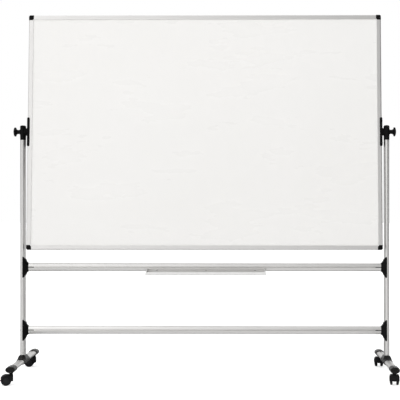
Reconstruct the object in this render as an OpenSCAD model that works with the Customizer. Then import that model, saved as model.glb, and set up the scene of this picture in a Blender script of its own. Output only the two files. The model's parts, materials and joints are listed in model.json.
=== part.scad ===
// Revolving double-sided whiteboard on a wheeled stand.
// Frame: +X across the board, +Y to the back, +Z up; the origin lies on the floor
// midway between the uprights.

/* [Board] */
// Width of the framed board
board_w = 1800; // [900:100:2400]
// Height of the framed board
board_h = 1200; // [600:50:1200]
// Width of the frame seen from the front
frame_face = 22; // [20:1:30]
// Depth of the frame from front to back
frame_depth = 22; // [20:1:30]
// Thickness of the core between the two writing sheets
core_thick = 14.2; // [8:0.2:14.2]
// Thickness of each steel writing sheet
sheet_thick = 0.45; // [0.4:0.05:0.8]
// Size of the square corner caps
cap_size = 25; // [22:1:40]
// How far the board leans back from upright, in degrees
board_lean = 3.6; // [0:0.2:10]

/* [Stand] */
// Height of the pivot axis above the floor
pivot_z = 1240; // [1230:10:1400]
// Gap between the board's edge and each upright
side_gap = 11; // [11:1:14]
// Longer side of the oval tube of uprights and rails
tube_long = 42; // [38:1:50]
// Shorter side of the oval tube of uprights and rails
tube_short = 28; // [26:1:30]
// Height of the upper rail's centre
upper_rail_z = 552; // [450:10:600]
// Height of the lower rail's centre
lower_rail_z = 232; // [200:10:300]
// Wall thickness of all tubes
wall = 2; // [1.6:0.1:2.5]

/* [Feet] */
// Length of each foot from front to back, with its caps
foot_len = 600; // [450:10:700]
// Height of the foot bar's centre
foot_z = 77; // [77:1:90]
// Longer side of the oval foot bar
foot_long = 40; // [38:1:46]
// Shorter side of the oval foot bar
foot_short = 24; // [24:1:28]
// Length of each foot end cap
foot_cap_len = 62; // [50:1:80]
// Half the length of the saddle along the foot
saddle_half = 62; // [50:1:80]

/* [Casters] */
// Wheel diameter
wheel_d = 50; // [46:1:50]
// Distance from the swivel axis to the wheel axis
trail = 24; // [18:1:26]
// Distance of the caster stems from the middle of the foot
stem_y = 272; // [200:1:275]

/* [Pen tray] */
// Length of the pen tray between its end caps
tray_len = 592; // [300:10:800]
// Distance of the tray's middle from the stand's middle
tray_x = 8; // [-100:1:100]
// Depth of the tray in front of the rail
tray_depth = 60; // [40:1:80]

/* [Hidden] */
$fn = 72;

// Colours
aluminium = "silver";
black = [0.09, 0.09, 0.10];
dark_grey = [0.22, 0.21, 0.21];
steel = [0.62, 0.63, 0.65];
white = [0.96, 0.96, 0.95];
card = [0.72, 0.60, 0.42];
light_grey = [0.80, 0.80, 0.79];

// Clearances
fit_gap = 0.05;    // radial gap of a running fit, and of a sliding slot
face_gap = 0.3;    // gap between faces that pass each other

// Board
half_w = board_w / 2;
board_bottom = pivot_z - board_h / 2;
board_top = pivot_z + board_h / 2;
edge_round = 5;                         // radius of the frame's outer edges
slot_depth = 10;                        // how far the panel sits in the frame
panel_edge = frame_face - slot_depth;   // panel edge, measured from the board's edge
slot_half = core_thick / 2 + sheet_thick + fit_gap;
frame_half = frame_depth / 2;
chamber_from = 2;                       // hollow chamber behind the panel slot
chamber_to = 10;
chamber_half = frame_half - 3;
key_arm = 62;
key_gap = 0.15;
cap_round = 7;
cap_cut = 8;                            // diagonal cut at the cap's inner corner
cap_proud = 1;

// Pivot, measured outwards from the middle of the board
bracket_web = 3;
bracket_flange = 2;
bracket_len = 148;
bracket_over = 10.5;                      // how far the flanges reach over the frame
hub_r = 20;
journal_r = 10;
stud_r = 5;
bush_r = 12;
bush_flange = 1.2;
washer_thick = 2;
washer_r = 13;
knob_len = 31;
knob_r = 23;
neck_r = 10.5;
flare_r = 12;
screw_r = 2;
screw_head_r = 4.2;
spigot_r = 8;                           // hub spigot in the bracket
bracket_out = half_w + bracket_web;
bracket_screw_zs = [for (s = [-1, 1]) pivot_z + s * 56];

// Stand
upright_x = half_w + side_gap + tube_short / 2;
upright_in = half_w + side_gap;
housing_skin = 1;
housing_in = upright_in - housing_skin;
housing_out = upright_x + tube_short / 2 + housing_skin;
housing_low = pivot_z - 41;
housing_high = pivot_z + 33;
upright_top = pivot_z - 22;
tongue_len = 50;
housing_screw_z = housing_low + 11;
housing_screw_y = tube_long / 2 + housing_skin;
washer_in = housing_out + 0.1;
knob_in = washer_in + washer_thick + fit_gap;
bar_top = foot_z + foot_short / 2;
bar_bottom = foot_z - foot_short / 2;
saddle_seat = 3;
upright_low = bar_top + saddle_seat;
collar_top = bar_top + 18;
rail_end = upright_in - 3;
insert_len = 40;
bolt_r = 4;
bolt_head_r = 7;
bolt_head_h = 3;
bolt_sink = 4;                          // depth of a countersunk head
sink_gap = 0.15;                        // radial gap round that head
upright_out = upright_in + tube_short;
connector_tall = 56;                    // half height at the upright
connector_reach = 15;                   // reach beyond the upright's inner face
cap_skin = 3.5;                         // foot caps and saddles stand proud of the bar
cap_end = 8;                            // solid end of a foot cap
groove_w = 5;
groove_d = 1;
foot_half = foot_len / 2;

// Tray
tray_thick = 2;
tray_floor_z = upper_rail_z - 34;
tray_back_z = upper_rail_z + 4;
tray_lip_z = upper_rail_z - 20;
tray_back_y = -tube_short / 2;
tray_front_y = tray_back_y - tray_depth;
tray_screw_z = upper_rail_z - 12;
tray_screw_xs = [for (i = [-1 : 1]) tray_x + i * tray_len * 0.42];

// Casters
wheel_r = wheel_d / 2;
wheel_in = 9.3;                         // inner face of each wheel, from the middle
wheel_out = 24.2;
axle_r = 3;
axle_half = 21;
web_half = 8.5;                         // half width of the hood's middle web
hood_half = 24.6;
hood_front = -10;
hood_top = 52;
stem_r = 5.5;
stem_low = 32;
stem_high = 80;
cap_bottom = bar_bottom - cap_skin;
socket_r = 8;
socket_flange = 3;
boss_top = cap_bottom - socket_flange - face_gap;
pedal_pin = [trail + 16, 27];
pedal_pin_r = 2;
pedal_half = 3.8;
// Swivel angle of the wheel behind its stem: front left, front right, rear left, rear right
FRONT_LEFT = [-1, -1, 193];
FRONT_RIGHT = [1, -1, 83];
REAR_LEFT = [-1, 1, 184];
REAR_RIGHT = [1, 1, 89];

// ---- Shared shapes ----

// Oval of four arcs; grow moves the whole outline outwards
module oval(long, short, grow = 0) {
    end_r = 0.4 * short;
    end_x = long / 2 - end_r;
    flat_r = (end_x * end_x + short * short / 4 - end_r * end_r) / (short - 2 * end_r);
    meet_x = end_x + end_r * end_x / (flat_r - end_r) + grow * end_x / (flat_r - end_r);
    for (s = [-1, 1]) translate([s * end_x, 0]) circle(r = end_r + grow);
    intersection() {
        translate([0, short / 2 - flat_r]) circle(r = flat_r + grow, $fn = 180);
        translate([0, flat_r - short / 2]) circle(r = flat_r + grow, $fn = 180);
        square([2 * meet_x, 2 * short], center = true);
    }
}

// Hollow oval extrusion standing on z = 0, with a shallow groove down each side
module oval_tube(long, short, length) {
    linear_extrude(length) difference() {
        oval(long, short);
        oval(long, short, -wall);
        for (s = [-1, 1]) {
            translate([0, s * short / 2]) square([groove_w, 2 * groove_d], center = true);
            translate([s * long / 2, 0]) square([2 * groove_d, groove_w], center = true);
        }
    }
}

// A part drawn for the right side, set on the left (-1) or right (1)
module on_side(side) {
    if (side > 0) children();
    else mirror([1, 0, 0]) children();
}

// Cylinder along +X from x0 to x1
module x_rod(x0, x1, r) {
    translate([x0, 0, 0]) rotate([0, 90, 0]) cylinder(h = x1 - x0, r = r);
}

// Outline in the X-Z plane, extruded to both sides of Y = 0
module front_plate(half_depth) {
    translate([0, half_depth, 0]) rotate([90, 0, 0]) linear_extrude(2 * half_depth) children();
}

// Screw pointing along -X with its head's underside at the origin
module screw(r, head_r, head_h, length) {
    x_rod(-length, head_h / 2, r);
    x_rod(0, head_h, head_r);
}

// ---- Stand ----

// Cone of a countersunk bolt head, flush with the upright's outer face
module sunk_head(grow) {
    translate([upright_out - bolt_sink, 0, 0]) rotate([0, 90, 0])
        cylinder(h = bolt_sink, r1 = bolt_r + grow, r2 = bolt_head_r + grow);
}

module upright(side) {
    color(aluminium) on_side(side) difference() {
        translate([upright_x, 0, upright_low]) rotate(90)
            oval_tube(tube_long, tube_short, upright_top - upright_low);
        for (z = [upper_rail_z, lower_rail_z]) translate([0, 0, z]) {
            x_rod(upright_in - 5, upright_out, bolt_r + fit_gap);
            sunk_head(sink_gap);
        }
        housing_screw_holes();
    }
}

module rail(z) {
    color(aluminium) difference() {
        translate([-rail_end, 0, z]) rotate([0, 90, 0])
            oval_tube(tube_long, tube_short, 2 * rail_end);
        if (z == upper_rail_z) tray_screw_holes();
    }
}

module tray_screw_holes() {
    for (x = tray_screw_xs) translate([x, tray_back_y - 5, tray_screw_z])
        rotate([-90, 0, 0]) cylinder(h = 12, r = screw_r);
}

// Bell-shaped end of a rail, cupped round the upright's inner half
module connector(side, z) {
    outer = upright_x;
    skin = 2.5;
    neck = tube_long / 2 + skin;
    color(black) on_side(side) translate([0, 0, z]) difference() {
        intersection() {
            front_plate(tube_long) polygon([
                [outer, connector_tall - 4], [outer - 3, connector_tall],
                [upright_in - 6, neck + 12], [upright_in - connector_reach, neck],
                [upright_in - connector_reach, -neck], [upright_in - 6, -neck - 12],
                [outer - 3, -connector_tall], [outer, 4 - connector_tall]
            ]);
            translate([0, 0, -connector_tall]) linear_extrude(2 * connector_tall) union() {
                translate([upright_x, 0]) rotate(90) oval(tube_long, tube_short, skin);
                polygon([
                    [upright_x, tube_long / 2 + skin], [upright_in, tube_long / 2],
                    [upright_in - connector_reach, tube_short / 2 + skin],
                    [upright_in - connector_reach, -tube_short / 2 - skin],
                    [upright_in, -tube_long / 2], [upright_x, -tube_long / 2 - skin]
                ]);
            }
        }
        translate([upright_x, 0, -connector_tall - 1]) rotate(90)
            linear_extrude(2 * connector_tall + 2) oval(tube_long, tube_short);
        translate([upright_in - connector_reach - 1, 0, 0]) rotate([0, 90, 0])
            linear_extrude(rail_end - upright_in + connector_reach + 1) oval(tube_long, tube_short);
        x_rod(rail_end - 1, upright_in + 3, bolt_r + fit_gap);
    }
}

// Block that fills a tube's end and takes a bolt; it stands on z = 0
module tube_insert() {
    difference() {
        linear_extrude(insert_len) oval(tube_long, tube_short, -wall - fit_gap);
        translate([0, 0, -1]) cylinder(h = insert_len + 2, r = bolt_r);
    }
}

module tube_inserts() {
    color(black) for (side = [-1, 1]) on_side(side) {
        for (z = [upper_rail_z, lower_rail_z])
            translate([rail_end - insert_len, 0, z]) rotate([0, 90, 0]) tube_insert();
        translate([upright_x, 0, upright_low]) rotate(90) tube_insert();
    }
}

module frame_bolts() {
    head_set = 0.1;      // how far the sunk heads lie below the upright's face
    foot_bolt = foot_short + saddle_seat + insert_len - 5;
    color(steel) for (side = [-1, 1]) on_side(side) {
        for (z = [upper_rail_z, lower_rail_z]) translate([-head_set, 0, z]) {
            x_rod(rail_end - insert_len + 5 + head_set, upright_out - 1, bolt_r);
            sunk_head(0);
        }
        translate([upright_x, 0, cap_bottom]) rotate([0, 90, 0])
            screw(bolt_r, bolt_head_r, bolt_head_h, foot_bolt + cap_skin);
    }
}

module foot_bar(side) {
    bar_half = foot_half - cap_end;
    color(aluminium) on_side(side) difference() {
        translate([upright_x, bar_half, foot_z]) rotate([90, 0, 0])
            oval_tube(foot_long, foot_short, 2 * bar_half);
        translate([upright_x, 0, bar_bottom - 5]) cylinder(h = foot_short + 10, r = bolt_r + fit_gap);
        for (y = [-stem_y, stem_y]) translate([upright_x, y, bar_bottom - 5])
            cylinder(h = foot_short / 2 + 5, r = socket_r);
    }
}

// Oval block round the foot bar, from y0 to y1
module foot_block(y0, y1, grow) {
    translate([upright_x, y1, foot_z]) rotate([90, 0, 0])
        linear_extrude(y1 - y0) oval(foot_long, foot_short, grow);
}

// End cap for the rear end of the right foot
module foot_end_cap() {
    bevel = 4;
    difference() {
        union() {
            foot_block(foot_half - foot_cap_len, foot_half - bevel / 2, cap_skin);
            foot_block(foot_half - foot_cap_len, foot_half, cap_skin - bevel / 2);
        }
        foot_block(foot_half - foot_cap_len - 1, foot_half - cap_end, 0);
        translate([upright_x, stem_y, cap_bottom - 5]) cylinder(h = cap_skin + 8, r = socket_r);
    }
}

module foot_end_caps() {
    color(black) for (side = [-1, 1]) on_side(side) {
        foot_end_cap();
        mirror([0, 1, 0]) foot_end_cap();
    }
}

// Saddle that clasps the foot bar and the upright's lower end
module foot_saddle(side) {
    fairing = 46;
    collar = 3;
    color(dark_grey) on_side(side) difference() {
        union() {
            foot_block(-saddle_half, saddle_half, cap_skin);
            translate([upright_x, 0, foot_z]) rotate(90)
                linear_extrude(collar_top - foot_z) oval(tube_long, tube_short, collar);
            translate([upright_x - 14, 0, 0]) rotate([90, 0, 90]) linear_extrude(28) polygon([
                [-fairing, foot_z], [fairing, foot_z], [fairing, bar_top + cap_skin - 1],
                [tube_long / 2 + 1, collar_top - 3], [-tube_long / 2 - 1, collar_top - 3],
                [-fairing, bar_top + cap_skin - 1]
            ]);
        }
        foot_block(-saddle_half - 1, saddle_half + 1, 0);
        translate([upright_x, 0, upright_low]) rotate(90)
            linear_extrude(collar_top) oval(tube_long, tube_short);
        translate([upright_x, 0, cap_bottom - 1]) cylinder(h = collar_top, r = bolt_r + fit_gap);
    }
}

// Head of an upright: a cap over the tube with a tongue inside it
module pivot_housing(side) {
    top_bevel = 6;
    foot_bevel = 3;
    color(black) on_side(side) difference() {
        union() {
            intersection() {
                translate([upright_x, 0, housing_low]) rotate(90)
                    linear_extrude(housing_high - housing_low)
                        oval(tube_long, tube_short, housing_skin);
                front_plate(tube_long) polygon([
                    [housing_in + foot_bevel, housing_low], [housing_out - foot_bevel, housing_low],
                    [housing_out, housing_low + 3 * foot_bevel], [housing_out, housing_high - top_bevel],
                    [housing_out - top_bevel, housing_high], [housing_in + top_bevel, housing_high],
                    [housing_in, housing_high - top_bevel], [housing_in, housing_low + 3 * foot_bevel]
                ]);
            }
            translate([upright_x, 0, upright_top - tongue_len]) rotate(90)
                linear_extrude(tongue_len + 1) oval(tube_long, tube_short, -wall - fit_gap);
        }
        translate([upright_x, 0, housing_low - 1]) rotate(90)
            linear_extrude(upright_top - housing_low + 1) difference() {
                oval(tube_long, tube_short);
                oval(tube_long, tube_short, -wall - fit_gap);
            }
        translate([0, 0, pivot_z]) x_rod(housing_in - 1, housing_out + 1, bush_r);
        housing_screw_holes();
    }
}

module housing_screw_holes() {
    for (s = [-1, 1]) translate([upright_x, s * tube_long, housing_screw_z])
        rotate([s * 90, 0, 0]) cylinder(h = tube_long - 4, r = screw_r);
}

module pivot_bushes() {
    color(light_grey) for (side = [-1, 1]) on_side(side) translate([0, 0, pivot_z]) difference() {
        union() {
            x_rod(housing_in, housing_out, bush_r);
            x_rod(housing_in - bush_flange, housing_in, hub_r - 1);
        }
        x_rod(housing_in - 5, housing_out + 5, journal_r + fit_gap);
    }
}

// ---- Pen tray ----

// Cross-section of the tray in the Y-Z plane: back plate, floor and front wall
module tray_section() {
    lean = 4;
    polygon([
        [tray_back_y, tray_back_z], [tray_back_y - tray_thick, tray_back_z],
        [tray_back_y - tray_thick, tray_floor_z + tray_thick],
        [tray_front_y + lean + tray_thick, tray_floor_z + tray_thick],
        [tray_front_y + tray_thick, tray_lip_z], [tray_front_y, tray_lip_z],
        [tray_front_y + lean - 1, tray_floor_z], [tray_back_y, tray_floor_z]
    ]);
}

// Cross-section of the pale strip that edges the tray's front wall
module tray_strip_section() {
    polygon([
        [tray_front_y - face_gap, tray_lip_z], [tray_front_y - 2.5, tray_lip_z - 1],
        [tray_front_y - 3.5, tray_lip_z - 5], [tray_front_y - 3.5, tray_floor_z + 3],
        [tray_front_y - 1, tray_floor_z - 1], [tray_front_y + 3 - face_gap, tray_floor_z - 1]
    ]);
}

module pen_tray() {
    color(aluminium) difference() {
        translate([tray_x - tray_len / 2, 0, 0]) rotate([90, 0, 90])
            linear_extrude(tray_len) tray_section();
        tray_screw_holes();
    }
}

module tray_end_caps() {
    end_thick = 4;
    over = 1.5;
    color(light_grey) union() {
        for (s = [-1, 1]) translate([tray_x, 0, 0]) on_side(s)
            translate([tray_len / 2, 0, 0]) rotate([90, 0, 90]) linear_extrude(end_thick) polygon([
                [tray_back_y, tray_back_z - 12], [tray_back_y - 4, tray_back_z - 12],
                [tray_front_y + 12, tray_lip_z + over], [tray_front_y - 3.5, tray_lip_z + over],
                [tray_front_y - 3.5, tray_floor_z - over], [tray_back_y, tray_floor_z - over]
            ]);
        translate([tray_x - tray_len / 2 - 1, 0, 0]) rotate([90, 0, 90])
            linear_extrude(tray_len + 2) tray_strip_section();
    }
}

// Self-tapping screws of the pivot housings and the tray
module stand_screws() {
    reach = 10;
    head_h = 1.8;
    color(steel) {
        for (side = [-1, 1], s = [-1, 1])
            translate([side * upright_x, s * housing_screw_y, housing_screw_z])
                rotate(s * 90) screw(screw_r, screw_head_r, head_h, reach);
        for (x = tray_screw_xs) translate([x, tray_back_y - tray_thick, tray_screw_z])
            rotate(-90) screw(screw_r, screw_head_r, head_h, reach);
    }
}

// ---- Board ----

// Leans a piece drawn upright back about the pivot axis
module leaning() {
    translate([0, 0, pivot_z]) rotate([-board_lean, 0, 0])
        translate([0, 0, -pivot_z]) children();
}

// Panel layer across the frame's slot, between two depths
module panel_layer(y0, y1) {
    translate([panel_edge - half_w, y0, board_bottom + panel_edge])
        cube([board_w - 2 * panel_edge, y1 - y0, board_h - 2 * panel_edge]);
}

module board_core() {
    color(card) leaning() panel_layer(-core_thick / 2, core_thick / 2);
}

module writing_sheet(front) {
    y0 = front ? -core_thick / 2 - sheet_thick : core_thick / 2;
    color(white) leaning() panel_layer(y0, y0 + sheet_thick);
}

// Frame section: x runs inwards from the board's edge, y is the depth
module frame_section() {
    difference() {
        union() {
            translate([edge_round, -frame_half]) square([frame_face - edge_round, frame_depth]);
            translate([0, edge_round - frame_half])
                square([frame_face, frame_depth - 2 * edge_round]);
            for (s = [-1, 1]) translate([edge_round, s * (frame_half - edge_round)])
                circle(r = edge_round);
        }
        translate([panel_edge, -slot_half]) square([frame_face, 2 * slot_half]);
        translate([chamber_from, -chamber_half])
            square([chamber_to - chamber_from, 2 * chamber_half]);
    }
}

module cross_frame_rail(top) {
    length = board_w - 2 * cap_size;
    color(aluminium) leaning() if (top)
        translate([-length / 2, 0, board_top]) rotate([0, 90, 0])
            linear_extrude(length) frame_section();
    else
        translate([length / 2, 0, board_bottom]) rotate([0, -90, 0])
            linear_extrude(length) frame_section();
}

module side_frame_rail(side) {
    length = board_h - 2 * cap_size;
    color(aluminium) leaning() on_side(side) difference() {
        translate([half_w, 0, board_bottom + cap_size]) mirror([1, 0, 0])
            linear_extrude(length) frame_section();
        for (z = bracket_screw_zs) translate([0, 0, z]) x_rod(half_w - 5, half_w + 5, screw_r);
    }
}

// Sets a piece drawn at a corner, with x and z running inwards, on all four corners
module on_corners() {
    for (sx = [0, 1], sz = [0, 1])
        translate([(2 * sx - 1) * half_w, 0, sz ? board_top : board_bottom])
            mirror([sx, 0, 0]) mirror([0, 0, sz]) children();
}

module corner_cap() {
    difference() {
        front_plate(frame_half + cap_proud) difference() {
            union() {
                translate([cap_round, 0]) square([cap_size - cap_round, cap_size]);
                translate([0, cap_round]) square([cap_size, cap_size - cap_round]);
                translate([cap_round, cap_round]) circle(r = cap_round);
            }
            translate([cap_size, cap_size]) rotate(45) square(cap_cut * sqrt(2), center = true);
        }
        translate([panel_edge - fit_gap, -slot_half, panel_edge - fit_gap])
            cube([cap_size, 2 * slot_half, cap_size]);
        corner_key(key_gap / 2);
    }
}

// L-shaped key in the frame's chambers
module corner_key(grow) {
    from = chamber_from + key_gap - grow;
    across = chamber_to - chamber_from - 2 * key_gap + 2 * grow;
    depth = 2 * (chamber_half - key_gap + grow);
    translate([from, -depth / 2, from]) cube([key_arm, depth, across]);
    translate([from, -depth / 2, from]) cube([across, depth, key_arm]);
}

module corner_caps() {
    color(black) leaning() on_corners() corner_cap();
}

module corner_keys() {
    color(dark_grey) leaning() on_corners() corner_key(0);
}

// ---- Pivot on the board ----

// Channel round the board's edge that carries the pivot hub
module pivot_bracket(side) {
    end_r = (bracket_over + bracket_web) / 2;
    end_z = bracket_len / 2 - end_r;
    color(black) leaning() on_side(side) difference() {
        translate([0, 0, pivot_z]) front_plate(frame_half + bracket_flange) {
            for (s = [-1, 1]) translate([bracket_out - end_r, s * end_z]) circle(r = end_r);
            translate([bracket_out - 2 * end_r, -end_z]) square([2 * end_r, 2 * end_z]);
        }
        translate([0, -frame_half - fit_gap, pivot_z - bracket_len])
            cube([half_w, frame_depth + 2 * fit_gap, 2 * bracket_len]);
        translate([0, 0, pivot_z]) x_rod(half_w - 1, bracket_out + 1, spigot_r);
        for (z = bracket_screw_zs) translate([0, 0, z])
            x_rod(half_w - 1, bracket_out + 1, screw_r + fit_gap);
    }
}

// Flanged journal that turns in the bush and takes the knob's stud
module pivot_hub(side) {
    color(steel) on_side(side) translate([0, 0, pivot_z]) difference() {
        union() {
            x_rod(half_w, bracket_out, spigot_r);
            x_rod(bracket_out, housing_in - bush_flange - face_gap, hub_r);
            x_rod(bracket_out, housing_out - 2, journal_r);
        }
        x_rod(half_w + 5, housing_out, stud_r + fit_gap);
    }
}

module bracket_screws() {
    reach = 9;
    head_h = 2.2;
    color(steel) leaning() for (side = [-1, 1], z = bracket_screw_zs) on_side(side)
        translate([bracket_out, 0, z]) screw(screw_r, screw_head_r, head_h, reach);
}

// ---- Clamp ----

module clamp_washer(side) {
    color(steel) on_side(side) translate([0, 0, pivot_z]) difference() {
        x_rod(washer_in, washer_in + washer_thick, washer_r);
        x_rod(washer_in - 1, washer_in + washer_thick + 1, stud_r + fit_gap);
    }
}

// Mushroom knob with a concave flare and a domed face, on a threaded stud
module clamp_knob(side) {
    flare_from = 7;
    rim_from = flare_from + flare_r;
    rim_to = knob_len - 5;
    dome_rise = knob_len - rim_to;
    dome_r = (knob_r * knob_r + dome_rise * dome_rise) / (2 * dome_rise);
    stud_in = half_w + 14;
    color(black) on_side(side) translate([0, 0, pivot_z]) {
        translate([knob_in, 0, 0]) rotate([0, 90, 0]) rotate_extrude() {
            square([neck_r, rim_from]);
            difference() {
                translate([0, flare_from]) square([neck_r + flare_r, flare_r]);
                translate([neck_r + flare_r, flare_from]) circle(r = flare_r);
            }
            intersection() {
                translate([0, rim_from]) square([knob_r, knob_len - rim_from]);
                translate([0, knob_len - dome_r]) circle(r = dome_r, $fn = 240);
            }
        }
        x_rod(stud_in, knob_in + 1, stud_r);
    }
}

// ---- Casters, drawn with the stem on the Z axis and the wheels towards +X ----

// Sets a caster piece at its foot and swivel angle
module at_foot(place) {
    translate([place[0] * upright_x, place[1] * stem_y, 0]) rotate(place[2]) children();
}

// Cylinder along Y, between two depths, centred at (x, z)
module y_rod(x, z, y0, y1, r) {
    translate([x, y1, z]) rotate([90, 0, 0]) cylinder(h = y1 - y0, r = r);
}

module caster_hood(place) {
    roof_gap = 0.8;
    roof = 2.4;
    skirt_z = 21;
    web_r = 9;
    boss_r = 8.4;
    tail = 6;                // hood's rear edge behind the pedal pin
    tail_rise = 9;           // height of that edge above the pin
    color(black) at_foot(place) difference() {
        union() {
            intersection() {
                union() {
                    y_rod(trail, wheel_r, -hood_half, hood_half, wheel_r + roof_gap + roof);
                    translate([hood_front, -hood_half, 0])
                        cube([trail - hood_front, 2 * hood_half, hood_top]);
                }
                translate([hood_front, -hood_half, skirt_z]) cube([80, 2 * hood_half, 60]);
            }
            y_rod(trail, wheel_r, -web_half, web_half, web_r);
            translate([0, 0, skirt_z]) cylinder(h = boss_top - skirt_z, r = boss_r);
        }
        for (s = [-1, 1]) {
            y0 = s > 0 ? web_half : -hood_half - 1;
            y_rod(trail, wheel_r, y0, y0 + hood_half + 1 - web_half, wheel_r + roof_gap);
        }
        translate([0, 0, stem_low]) cylinder(h = hood_top, r = stem_r);
        y_rod(trail, wheel_r, -web_half - 1, web_half + 1, axle_r + fit_gap);
        // Room for the brake arm, and the holes for its pin
        intersection() {
            y_rod(trail, wheel_r, -pedal_half - face_gap, pedal_half + face_gap, wheel_r + roof_gap);
            translate([pedal_pin[0] - tail, -web_half, 0]) cube([60, 2 * web_half, 60]);
        }
        translate([pedal_pin[0] + tail, -hood_half - 1, 0])
            cube([60, 2 * hood_half + 2, pedal_pin[1] + tail_rise]);
        y_rod(pedal_pin[0], pedal_pin[1], -web_half - 1, web_half + 1, pedal_pin_r + fit_gap);
    }
}

module caster_stem(place) {
    tip = 1.5;
    color(steel) at_foot(place) {
        translate([0, 0, stem_low]) cylinder(h = stem_high - stem_low - tip, r = stem_r);
        translate([0, 0, stem_high - tip]) cylinder(h = tip, r1 = stem_r, r2 = stem_r - tip);
    }
}

module caster_axle(place) {
    color(steel) at_foot(place) y_rod(trail, wheel_r, -axle_half, axle_half, axle_r);
}

// Twin wheels with chamfered treads and a dished outer face
module caster_wheels(place) {
    width = wheel_out - wheel_in;
    color(black) at_foot(place) for (s = [-1, 1])
        translate([trail, s * wheel_in, wheel_r]) rotate([-s * 90, 0, 0]) rotate_extrude() polygon([
            [axle_r, 0], [wheel_r - 1, 0], [wheel_r, 1], [wheel_r, width - 7],
            [wheel_r - 1, width - 5], [wheel_r - 4, width - 2.5], [wheel_r - 8, width - 1],
            [wheel_r - 9, width - 2.5], [10, width - 2.5], [9, width - 0.8], [0, width],
            [0, axle_half - wheel_in], [axle_r, axle_half - wheel_in]
        ]);
}

// Brake pedal: arm between the wheels, cross pin and pad behind the wheels
module caster_brake(place) {
    arm_r = 4.5;
    pad_from = trail + 27.5;
    pad_to = trail + 34;
    pad_half = 14;
    color(black) at_foot(place) {
        y_rod(pedal_pin[0], pedal_pin[1], -pedal_half, pedal_half, arm_r);
        y_rod(pedal_pin[0], pedal_pin[1], -web_half + 0.2, web_half - 0.2, pedal_pin_r);
        translate([pedal_pin[0], -pedal_half, pedal_pin[1] - arm_r])
            cube([pad_from + 1 - pedal_pin[0], 2 * pedal_half, 5]);
        translate([pad_from, -pad_half, pedal_pin[1] - 5]) cube([pad_to - pad_from, 2 * pad_half, 5.5]);
    }
}

// Plastic sleeves in the feet that the stems turn in
module caster_sockets() {
    color(black) for (x = [-1, 1], y = [-1, 1]) translate([x * upright_x, y * stem_y, 0])
        difference() {
            union() {
                translate([0, 0, cap_bottom - socket_flange])
                    cylinder(h = socket_flange, r = socket_r + 2.5);
                translate([0, 0, cap_bottom]) cylinder(h = stem_high + 4 - cap_bottom, r = socket_r);
            }
            translate([0, 0, cap_bottom - socket_flange - 1])
                cylinder(h = stem_high + 1 - cap_bottom + socket_flange, r = stem_r + fit_gap);
        }
}

upright(-1);  // left_upright
upright(1);  // right_upright
rail(upper_rail_z);  // upper_rail
rail(lower_rail_z);  // lower_rail
connector(-1, upper_rail_z);  // upper_left_connector
connector(1, upper_rail_z);  // upper_right_connector
connector(-1, lower_rail_z);  // lower_left_connector
connector(1, lower_rail_z);  // lower_right_connector
tube_inserts();
frame_bolts();
foot_bar(-1);  // left_foot_bar
foot_bar(1);  // right_foot_bar
foot_end_caps();
foot_saddle(-1);  // left_foot_saddle
foot_saddle(1);  // right_foot_saddle
pivot_housing(-1);  // left_pivot_housing
pivot_housing(1);  // right_pivot_housing
pivot_bushes();
stand_screws();
pen_tray();
tray_end_caps();
caster_sockets();
clamp_washer(-1);  // left_clamp_washer
clamp_washer(1);  // right_clamp_washer
board_core();
writing_sheet(true);  // front_writing_sheet
writing_sheet(false);  // back_writing_sheet
cross_frame_rail(true);  // top_frame_rail
cross_frame_rail(false);  // bottom_frame_rail
side_frame_rail(-1);  // left_frame_rail
side_frame_rail(1);  // right_frame_rail
corner_caps();
corner_keys();
pivot_bracket(-1);  // left_pivot_bracket
pivot_bracket(1);  // right_pivot_bracket
pivot_hub(-1);  // left_pivot_hub
pivot_hub(1);  // right_pivot_hub
bracket_screws();
clamp_knob(-1);  // left_clamp_knob
clamp_knob(1);  // right_clamp_knob
caster_hood(FRONT_LEFT);  // front_left_caster_hood
caster_stem(FRONT_LEFT);  // front_left_caster_stem
caster_axle(FRONT_LEFT);  // front_left_caster_axle
caster_wheels(FRONT_LEFT);  // front_left_caster_wheels
caster_brake(FRONT_LEFT);  // front_left_caster_brake
caster_hood(FRONT_RIGHT);  // front_right_caster_hood
caster_stem(FRONT_RIGHT);  // front_right_caster_stem
caster_axle(FRONT_RIGHT);  // front_right_caster_axle
caster_wheels(FRONT_RIGHT);  // front_right_caster_wheels
caster_brake(FRONT_RIGHT);  // front_right_caster_brake
caster_hood(REAR_LEFT);  // rear_left_caster_hood
caster_stem(REAR_LEFT);  // rear_left_caster_stem
caster_axle(REAR_LEFT);  // rear_left_caster_axle
caster_wheels(REAR_LEFT);  // rear_left_caster_wheels
caster_brake(REAR_LEFT);  // rear_left_caster_brake
caster_hood(REAR_RIGHT);  // rear_right_caster_hood
caster_stem(REAR_RIGHT);  // rear_right_caster_stem
caster_axle(REAR_RIGHT);  // rear_right_caster_axle
caster_wheels(REAR_RIGHT);  // rear_right_caster_wheels
caster_brake(REAR_RIGHT);  // rear_right_caster_brake
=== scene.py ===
"""Revolving whiteboard on a wheeled stand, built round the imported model.

Shapes are drawn in millimetres and turned into metres when they become objects.
"""
import json
import math

import bmesh
import bpy
from mathutils import Matrix, Vector


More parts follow.
